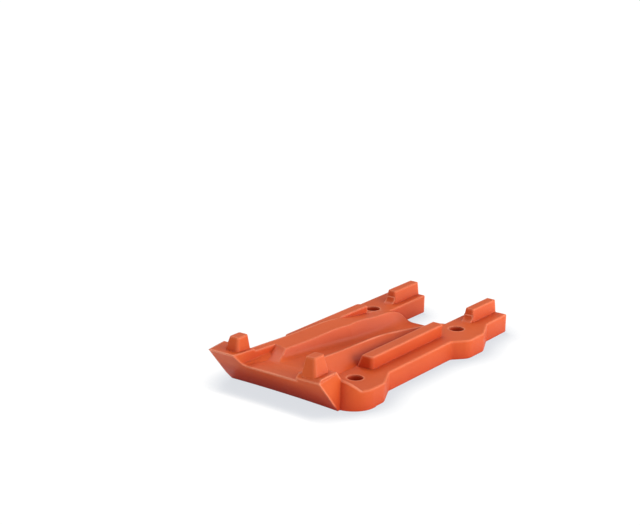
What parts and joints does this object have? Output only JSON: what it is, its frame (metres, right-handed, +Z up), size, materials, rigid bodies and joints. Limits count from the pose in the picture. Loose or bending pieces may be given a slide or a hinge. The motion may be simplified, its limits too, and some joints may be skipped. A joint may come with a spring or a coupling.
{
  "type": "motorcycle chain guide insert",
  "caption": "Moulded plastic chain guide insert: slotted plate with a humped chain channel, flared lip, locating pegs, bars and lugs, and corner bolt holes.",
  "frame": {"origin": "middle of the four bolt holes on the flat bottom face", "axes": "+X towards the two arms, +Z up from the flat bottom face, +Y across; mirror image about y = 0"},
  "size_m": [0.1397, 0.0623, 0.0232],
  "materials": {
    "orange_plastic": "satin as moulded"
  },
  "bodies": {
    "root": {"guide_plate": "orange_plastic"}
  },
  "joints": []
}
